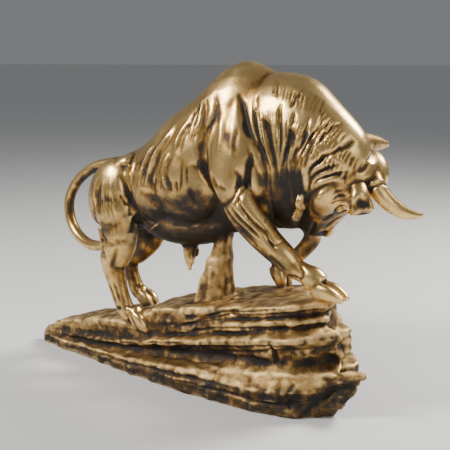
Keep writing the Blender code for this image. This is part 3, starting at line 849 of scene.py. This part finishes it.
# %% [markdown]
# ## The face
#
# The face is carved in the head's own axes. The lines here are in space, so a
# stroke reaches only the skin it lies on. Nostrils, mouth, lids and the rings
# at the horns are pressed in, and the jaw's edge is raised. The ears are
# hollowed and the curls between the horns are cut last.

# %% Lines of the face
def in_axes(places, place):
    """The points as they measure in the axes of place."""
    to_axes = np.array(place.inverted())
    return ((places * MILLIMETRE) @ to_axes[:3, :3].T + to_axes[:3, 3]) / MILLIMETRE


def press(figure, lines, place):
    """Lines in the axes of place: (line of three numbers each, width, depth)."""
    places, facing = read_skin(figure.data)
    seen = in_axes(places, place)
    push = np.zeros(len(places))
    for line, width, depth in lines:
        line = smooth_run(line, 3)
        near = ((seen > line.min(0) - 3 * width) & (seen < line.max(0) + 3 * width)).all(1)
        push[near] -= cut_depth(seen[near], line, width, depth)
    write_skin(figure.data, places + facing * push[:, None])


def both_sides(lines):
    """The lines of the right side and their mirror images on the left."""
    mirrored = [([(f, -l, n) for f, l, n in line], width, depth) for line, width, depth in lines]
    return [*lines, *mirrored]


def loop(centre, radius_f, radius_n, slant=0):
    """A closed ring across the head."""
    turns = [2 * math.pi * k / 10 for k in range(11)]
    f, l, n = centre
    return [(f + radius_f * math.cos(a), l + slant * math.cos(a), n + radius_n * math.sin(a)) for a in turns]


face_lines = both_sides((
    (loop((49, -24.5, -18), 7.2, 6.4, 1.5), 1.5, 2.2),
    (((38, -23, -36), (31, -23, -32), (29, -24, -24)), 1.6, 1.6),
    (((34, -21, -40), (26, -20, -34), (23, -23, -26)), 1.5, 1.4),
    (((42, -24, -36), (37, -25, -30), (36, -25, -22)), 1.4, 1.2),
    (((60, -17, -6), (68, -17, -8), (77, -16, -12), (87, -15, -14)), 2.2, 2.4),
    (((58, -20, -22), (66, -18, -22), (74, -17, -24)), 2.4, 1.6),
    (((94, -17, -13), (93, -17, -9), (96, -16, -5)), 2.4, 3.0),
    (((84, -14, -2), (92, -16, -1), (100, -15, -6)), 2.0, -1.6),
    (((105, -9, -22), (97, -15, -24), (86, -16, -27), (75, -15, -31)), 1.8, 2.8),
    (((93, -13, -30), (84, -14, -33)), 2.2, -1.0),
    (((40, -4, -53), (27, -9, -50), (18, -14, -43), (14, -18, -33)), 3.4, -2.4),
    (((44, -15, -47), (36, -14, -46)), 1.6, -1.4),
    (((48, -17, -42), (58, -15, -38), (66, -14, -33)), 5, 1.6),
    (((20, -19, -28), (24, -21, -20), (32, -23, -12)), 2.2, 1.6),
    (loop((10, -27, 2), 11.5, 11.5), 1.5, -1.6),
    (loop((11, -31, 3), 11, 11), 1.3, 1.6),
    (loop((11.5, -34, 4), 11, 11), 1.2, -0.8),
))
press(figure, face_lines, head_place)
print("lines of the face:", len(face_lines))

# %% Hollow ears and the curls between the horns
EAR_WIDTH, EAR_DEPTH = 9.8, 8
places, facing = read_skin(figure.data)
seen = in_axes(places, head_place)
for side in (-1, 1):
    # Each funnel opens backwards, outwards and down
    opening = Vector((-0.62, 0.59 * side, -0.52)).normalized()
    from_middle = seen - np.array((22, side * 45, -19))
    away = np.linalg.norm(from_middle - np.outer(from_middle @ opening, opening), axis=1)
    facing_out = facing @ np.array(head_place.to_3x3()) @ np.array(opening) > 0.1
    close_by = np.abs(from_middle @ opening) < 18
    round_it = np.arctan2(from_middle[:, 2], from_middle[:, 0])
    lobed = EAR_WIDTH * (1 + 0.05 * np.sin(3 * round_it + 0.6) + 0.05 * np.sin(7 * round_it))
    deep = EAR_DEPTH * np.exp(-((away / lobed) ** 3)) * (facing_out & close_by)
    places -= deep[:, None] * np.array(head_place.to_3x3() @ opening)
curl_lines = []
for row in range(5):
    for column in range(-3, 4):
        f, l = -6 + 6.5 * row, column * 6 + 2 * (row % 2)
        n = 24 - 0.02 * l * l - 0.5 * row
        curl_lines.append((((f, l, n), (f + 3, l + 3, n), (f + 6.5, l + 1, n - 1)), 1.4, 1.1))
write_skin(figure.data, places)
press(figure, curl_lines, head_place)
melt(figure, 1, 0.35)
print("curls:", len(curl_lines))

# %% [markdown]
# ## Thinning and the flat underside
#
# Even squares spend as much on a flat flank as on an ear. Decimate takes points
# away where the skin is flat and leaves them where it bends. The figure is then
# cut level with the table and closed, and the tiny loose bits that thinning can
# leave are taken away.

# %% Thinned and cut level
MOST_TRIANGLES = 196000
SMALLEST_ISLAND = 100


def loose_bits(shape):
    """The faces of islands that are smaller than SMALLEST_ISLAND."""
    left = set(shape.faces)
    bits = []
    while left:
        front = [left.pop()]
        island = []
        while front:
            face = front.pop()
            island.append(face)
            for edge in face.edges:
                fresh = [near for near in edge.link_faces if near in left]
                left.difference_update(fresh)
                front.extend(fresh)
        if len(island) < SMALLEST_ISLAND:
            bits += island
    return bits


thinner = figure.modifiers.new("Thin", "DECIMATE")
thinner.ratio = min(1, MOST_TRIANGLES / (2 * len(figure.data.polygons)))
bake(figure)
cut = bmesh.new()
cut.from_mesh(figure.data)
everything = cut.verts[:] + cut.edges[:] + cut.faces[:]
done = bmesh.ops.bisect_plane(
    cut, geom=everything, plane_co=(0, 0, 0), plane_no=(0, 0, -1), clear_outer=True)
rim = [item for item in done["geom_cut"] if isinstance(item, bmesh.types.BMEdge)]
bmesh.ops.triangle_fill(cut, edges=rim, use_beauty=True)
bmesh.ops.triangulate(cut, faces=cut.faces)
bits = loose_bits(cut)
bmesh.ops.delete(cut, geom=bits, context="FACES")
print("loose bits taken away:", len(bits), "faces")
bmesh.ops.recalc_face_normals(cut, faces=cut.faces)
for face in cut.faces:
    face.smooth = True
cut.to_mesh(figure.data)
cut.free()
print("thinned to", len(figure.data.polygons), "triangles")

# %% [markdown]
# ## Where the glaze, the painted shade and the painted highlights go
#
# A dark glaze is brushed over the gold and wiped off, so it stays in hollows and
# leaves the ridges bright. To find them, the skin is compared with smoother
# copies of itself: a point below the smooth copy is in a hollow. Three scales
# are used, for hair and wrinkles, for folds and for the large valleys. Broad
# washes then darken or lighten whole areas. They are painted shade and painted
# highlights, with some heavier glaze and rubbed gold among them: shade under the
# chest and belly, between the legs, on the face and on the upright stone, and
# highlights on the crest of the neck, the ribs, the shoulder, the thigh and the tassel.

# %% Hollows and ridges
places, facing = read_skin(figure.data)
edges = np.zeros(len(figure.data.edges) * 2, dtype=np.int64)
figure.data.edges.foreach_get("vertices", edges)
edges = edges.reshape(-1, 2)
count = len(places)
neighbours = np.bincount(edges.ravel(), minlength=count).astype(float)


def averaged(values, rounds):
    """Every point takes the mean of its neighbours and itself, again and again."""
    for _ in range(rounds):
        total = values.copy()
        for k in range(values.shape[1]):
            column = values[:, k]
            total[:, k] += np.bincount(edges[:, 0], column[edges[:, 1]], count)
            total[:, k] += np.bincount(edges[:, 1], column[edges[:, 0]], count)
        values = total / (neighbours[:, None] + 1)
    return values


# The paint of the stone passes into the paint of the bull over this many millimetres
STONE_EDGE = 2.5
on_stone = np.zeros(count)
for i, spot in enumerate(places):
    if spot[2] < 125 or abs(spot[0] - 46) < 24:
        away = stone_tree.find(Vector(spot) * MILLIMETRE)[2] / MILLIMETRE
        on_stone[i] = max(0, 1 - away / STONE_EDGE)
on_stone = averaged(on_stone[:, None], 2)[:, 0]
hollow = np.zeros(count)
ridge = np.zeros(count)
smoother, done_rounds = places, 0
# Rounds of smoothing, weight on the bull and weight on stone, which is rough all over
for rounds, weight, on_rock in ((4, 1.7, 0.8), (14, 0.8, 0.42), (50, 0.22, 0.25)):
    smoother = averaged(smoother, rounds - done_rounds)
    done_rounds = rounds
    below = ((smoother - places) * facing).sum(1)
    hollow += (weight + (on_rock - weight) * on_stone) * np.clip(below, -0.28, 2.2)
    ridge -= weight * np.clip(below, -0.9, 2.2)
print("hollow from", round(hollow.min(), 2), "to", round(hollow.max(), 2))

# %% Washes of painted shade and painted highlights, with some glaze
# Each wash: centre, reach and strength. A positive strength is painted shade where shade falls, with some
# heavier glaze. A negative strength is a painted highlight where the light strikes, with some rubbed gold.
shade_highlight_and_glaze_washes = (
    ((154, -34, 232), (24, 60, 34), 0.46), ((145, -20, 205), (26, 60, 20), 0.28),
    ((40, -44, 228), (18, 40, 26), 0.28), ((5, 0, 166), (80, 80, 20), 0.38),
    ((-50, -30, 182), (9, 40, 22), 0.35), ((72, 0, 186), (16, 60, 24), 0.4),
    ((120, 0, 125), (40, 30, 22), 0.25), ((-60, -40, 258), (10, 30, 14), 0.18),
    ((94, -34, 300), (14, 30, 30), 0.12), ((112, -42, 296), (14, 30, 26), 0.14),
    ((112, -40, 240), (12, 30, 26), -0.2), ((4, -50, 280), (44, 30, 34), -0.28),
    ((-74, 0, 225), (26, 60, 36), -0.22), ((110, -50, 210), (26, 18, 22), -0.16),
    ((200, 0, 316), (50, 60, 24), -0.32), ((163, -38, 220), (8, 9, 16), -0.8),
    ((225, -22, 262), (30, 30, 16), 0.12),
)
# Painted shade on the eye, ear, muzzle, jaw and cheek, measured on the head
head_shade_washes = (
    ((49, -21, -18), (6, 7, 6), 0.3), ((21, -44, -19), (7, 7, 7), 0.35), ((90, -10, -20), (20, 20, 20), 0.4),
    ((60, -14, -36), (20, 20, 20), 0.3), ((30, -20, -30), (14, 14, 14), 0.2),
)
for spot, reach, strength in head_shade_washes:
    shade_highlight_and_glaze_washes += ((np.array(head_place @ at(*spot)) / MILLIMETRE, reach, strength),)
shade_highlight_and_glaze = np.zeros(count)
for centre, reach, strength in shade_highlight_and_glaze_washes:
    away = ((places - centre) / reach) ** 2
    shade_highlight_and_glaze += strength * np.exp(-away.sum(1))
slope = averaged(facing, 14)[:, 2]
steep = np.clip(1.25 - 1.9 * np.clip(slope, 0, 1), 0, 1)
low = np.clip(1.5 - places[:, 2] / 45, 0, 1)
# Painted shade on the stone: upright faces, and more so low down, are dark; the pillar stays lighter
on_pillar = (np.abs(places[:, 0] - 44) < 30) * np.clip((places[:, 2] - 92) / 12, 0, 1)
# The slope round the near hind hoof is sandy and stays light
above_rim = places[:, 2] - line_height("rim b", places[:, 0])
sandy_slope = np.clip((above_rim - 3) / 5, 0, 1) * np.clip((10 - places[:, 0]) / 50, 0, 1)
rock_shade = on_stone * (1 - 0.8 * on_pillar) * (1 - 0.8 * sandy_slope) * (steep * (0.37 + 0.32 * low) - 0.06)
# Painted light on the stone: hollows on its flat tops, which face the light, keep less glaze
hollow *= 1 - on_stone * (1 - steep * (1 - 0.5 * sandy_slope)) * 0.6
# Painted shade on the undersides of the belly and chest, which face down, away from the light
belly = np.clip((places[:, 2] - 140) / 20, 0.3, 1) * (places[:, 0] < 175)
shade_under_body = 0.62 * belly * np.clip(0.15 - 1.5 * slope, 0, 1) * (1 - on_stone)
# Painted shade on the inner sides of the legs, where shade falls between them
shade_between_legs = np.where(places[:, 0] > 95, 0.1, 0.3) * np.clip(-facing[:, 1] * np.sign(places[:, 1]), 0, 1)
shade_between_legs *= (places[:, 2] < 200) * (1 - on_stone)
# Both are painted shade: they add dark and take the rubbed gold away
shade_below_and_between = shade_under_body + shade_between_legs
THIN_GLAZE, IN_HOLLOWS = 0.28, 0.30
# This map holds the glaze in the hollows and the washes, and the painted shade on the stone, the undersides
# and the legs
glaze_and_shade = THIN_GLAZE + IN_HOLLOWS * hollow * (1 - shade_below_and_between) + shade_highlight_and_glaze * (1 - on_stone) + rock_shade + shade_below_and_between
glaze_and_shade = np.clip(glaze_and_shade, 0, 1)
# Gold rubbed bright on the ridges, plus the painted highlights of the washes; painted shade takes it away
rubbed_and_highlit = (0.4 + 0.25 * on_stone) * ridge - 0.6 * shade_highlight_and_glaze - 1.2 * shade_below_and_between - 0.12
# Painted shade: upright stone, more so low down, loses its bright rims
rubbed_and_highlit = np.clip(rubbed_and_highlit - on_stone * steep * (0.6 + 0.6 * low), 0, 1)
for name, values in (("glaze_and_shade", glaze_and_shade), ("rubbed_and_highlit", rubbed_and_highlit), ("on_stone", on_stone)):
    layer = figure.data.attributes.new(name, "FLOAT", "POINT")
    layer.data.foreach_set("value", values.astype(np.float32))
print("mean glaze", round(float(glaze_and_shade.mean()), 2), "mean rubbed", round(float(rubbed_and_highlit.mean()), 2))

# %% [markdown]
# ## The paint
#
# Antique gold is a metallic paint under a brown glaze. One colour ramp runs from
# pale gold through brown to nearly black, and the map of glaze and painted shade
# moves along it. The rubbed gold and the painted highlights are laid over it.
# Fine noise breaks up the edge between them and gives the pores of the casting.

# %% Paint tools
gold = bpy.data.materials.new("antique_gold_with_glaze_and_painted_light")
gold.use_nodes = True
tree = gold.node_tree


def wire(kind, values=None, links=None, **settings):
    """A node with its settings, its socket values and its incoming links."""
    node = tree.nodes.new(kind)
    for name, value in settings.items():
        setattr(node, name, value)
    for key, value in (values or {}).items():
        node.inputs[key].default_value = value
    for key, source in (links or {}).items():
        tree.links.new(source, node.inputs[key])
    return node


def ramp(source, stops):
    """A colour for every place along the source, or a grey where a stop has one number."""
    node = wire("ShaderNodeValToRGB", links={0: source})
    while len(node.color_ramp.elements) < len(stops):
        node.color_ramp.elements.new(0.5)
    for element, (position, colour) in zip(node.color_ramp.elements, stops):
        element.position = position
        element.color = (*colour, 1) if isinstance(colour, tuple) else (colour, colour, colour, 1)
    return node.outputs[0]


def speckles(scale, detail, roughness, vector):
    values = {"Scale": scale, "Detail": detail, "Roughness": roughness}
    return wire("ShaderNodeTexNoise", values, {"Vector": vector}).outputs[0]


def painted_map(name):
    """What was written on the skin's points under this name."""
    return wire("ShaderNodeAttribute", attribute_name=name).outputs["Fac"]


def mixed(first, second, operation):
    node = wire("ShaderNodeMath", operation=operation)
    for socket, source in zip(node.inputs, (first, second)):
        if isinstance(source, (int, float)):
            socket.default_value = source
        else:
            tree.links.new(source, socket)
    return node.outputs[0]


# %% How deep the glaze and the painted shade lie
spot = wire("ShaderNodeTexCoord").outputs["Object"]
glaze_and_shade_map = painted_map("glaze_and_shade")
rub_and_highlight_map = painted_map("rubbed_and_highlit")
clouds = speckles(60, 5, 0.6, spot)
pores = speckles(420, 4, 0.7, spot)
stretched = wire("ShaderNodeMapping", {"Scale": (330, 330, 60)}, {"Vector": spot}).outputs[0]
brush = speckles(1, 4, 0.65, stretched)
stone_map = painted_map("on_stone")
grain = mixed(mixed(stone_map, 0.5, "MULTIPLY"), 0.18, "ADD")
uneven = mixed(mixed(clouds, 1.9, "MULTIPLY"), mixed(brush, 0.3, "MULTIPLY"), "ADD")
uneven = mixed(uneven, mixed(mixed(pores, -0.5, "ADD"), grain, "MULTIPLY"), "ADD")
depth = mixed(mixed(uneven, -1.10, "ADD"), glaze_and_shade_map, "ADD")

# %% Colour of gold and stone
shader = tree.nodes["Principled BSDF"]
# From bare gold to the darkest glaze and painted shade
gold_to_glaze_and_shade = (
    (0.0, (0.66, 0.40, 0.125)), (0.22, (0.40, 0.225, 0.06)), (0.42, (0.18, 0.095, 0.027)),
    (0.62, (0.070, 0.037, 0.013)), (0.9, (0.010, 0.006, 0.003)),
)
SANDY_STONE = (0.36, 0.245, 0.115, 1)
# Colour of the rubbed gold and of the painted highlights
RUBBED_AND_HIGHLIT_GOLD = (0.95, 0.68, 0.30, 1)
colour = ramp(depth, gold_to_glaze_and_shade)
thin_glaze_and_shade = mixed(1, mixed(depth, 1.9, "MULTIPLY"), "SUBTRACT")
sandy_share = mixed(mixed(stone_map, 0.75, "MULTIPLY"), thin_glaze_and_shade, "MULTIPLY")
sandy = wire("ShaderNodeMix", {"B": SANDY_STONE}, data_type="RGBA")
tree.links.new(colour, sandy.inputs["A"])
tree.links.new(mixed(sandy_share, 0, "MAXIMUM"), sandy.inputs["Factor"])
bright = wire("ShaderNodeMix", {"B": RUBBED_AND_HIGHLIT_GOLD}, data_type="RGBA")
tree.links.new(sandy.outputs["Result"], bright.inputs["A"])
tree.links.new(mixed(rub_and_highlight_map, 0.9, "MULTIPLY"), bright.inputs["Factor"])
tree.links.new(bright.outputs["Result"], shader.inputs["Base Color"])

# %% Gloss and relief
roughness = ramp(depth, ((0, 0.27), (0.4, 0.36), (0.8, 0.55)))
tree.links.new(mixed(mixed(stone_map, 0.16, "MULTIPLY"), roughness, "ADD"), shader.inputs["Roughness"])
tree.links.new(ramp(depth, ((0, 0.95), (0.45, 0.8), (0.75, 0.25))), shader.inputs["Metallic"])
grit = speckles(170, 6, 0.75, spot)
height = mixed(mixed(pores, grain, "MULTIPLY"), mixed(brush, 0.12, "MULTIPLY"), "ADD")
height = mixed(height, mixed(mixed(grit, 2.2, "MULTIPLY"), stone_map, "MULTIPLY"), "ADD")
relief = wire("ShaderNodeBump", {"Strength": 0.6, "Distance": 0.0010}, {"Height": height})
tree.links.new(relief.outputs[0], shader.inputs["Normal"])
figure.data.materials.clear()
figure.data.materials.append(gold)
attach(figure, "root")
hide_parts("bull_sculpture")
print("paint:", len(tree.nodes), "nodes")

# %% [markdown]
# ## Floor, light and camera
#
# The floor is plain and pale. As the camera sees it, two large soft lights rake
# the figure from behind on the right and from the front on the left, so that the
# crest of the neck and the ribs glare and the folds stay dark, and a weak third
# one fills the shade. The camera stands before the bull's right shoulder and
# looks slightly down.

# %% Floor
HALF_FLOOR = 60
plate = bmesh.new()
bmesh.ops.create_grid(plate, x_segments=1, y_segments=1, size=HALF_FLOOR)
floor_mesh = bpy.data.meshes.new("floor")
plate.to_mesh(floor_mesh)
plate.free()
floor = bpy.data.objects.new("floor", floor_mesh)
bpy.context.scene.collection.objects.link(floor)
pale = bpy.data.materials.new("pale_floor")
pale.use_nodes = True
matt = pale.node_tree.nodes["Principled BSDF"]
matt.inputs["Base Color"].default_value = (0.80, 0.80, 0.79, 1)
matt.inputs["Roughness"].default_value = 0.7
floor_mesh.materials.append(pale)
floor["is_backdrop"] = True


# %% Lights
LIT_SPOT = (0, 0, 0.18)


def soft_light(name, place, power, size, colour=(1, 1, 1)):
    lamp = bpy.data.lights.new(name, "AREA")
    lamp.energy = power
    lamp.size = size
    lamp.color = colour
    light = bpy.data.objects.new(name, lamp)
    light.location = place
    light.rotation_euler = (Vector(LIT_SPOT) - Vector(place)).to_track_quat("-Z", "Y").to_euler()
    bpy.context.scene.collection.objects.link(light)


soft_light("key_behind_right", (0.75, 0.95, 1.25), 37, 0.5, (1, 0.98, 0.94))
soft_light("front_left", (-0.75, -0.95, 1.05), 23, 0.45, (1, 0.98, 0.95))
soft_light("front_right_fill", (1.4, -0.7, 0.7), 6, 1.0)
world = bpy.data.worlds.new("studio")
world.use_nodes = True
sky = world.node_tree.nodes["Background"]
sky.inputs["Color"].default_value = (0.80, 0.82, 0.85, 1)
sky.inputs["Strength"].default_value = 0.24
bpy.context.scene.world = world

# %% Camera
CAMERA_PLACE = (0.60525268, -0.85432385, 0.37013181)
LOOKING = Vector((-0.5357, 0.8249, -0.1803))
lens = bpy.data.cameras.new("camera")
lens.lens = 72
lens.sensor_width = 36
lens.clip_end = 200
camera = bpy.data.objects.new("camera", lens)
camera.location = CAMERA_PLACE
camera.rotation_euler = LOOKING.to_track_quat("-Z", "Y").to_euler()
bpy.context.scene.collection.objects.link(camera)
bpy.context.scene.camera = camera

# %% [markdown]
# ## Size
#
# The painted figure stands for the solid and should be as large, so the boxes
# of both are written down to be compared.

# %% Sizes written down
box_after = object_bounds()
for low_or_high, before, after in zip(("lowest", "highest"), box_before, box_after):
    print(low_or_high, [round((b - a) * 1000, 1) for a, b in zip(before, after)], "mm from the solid")
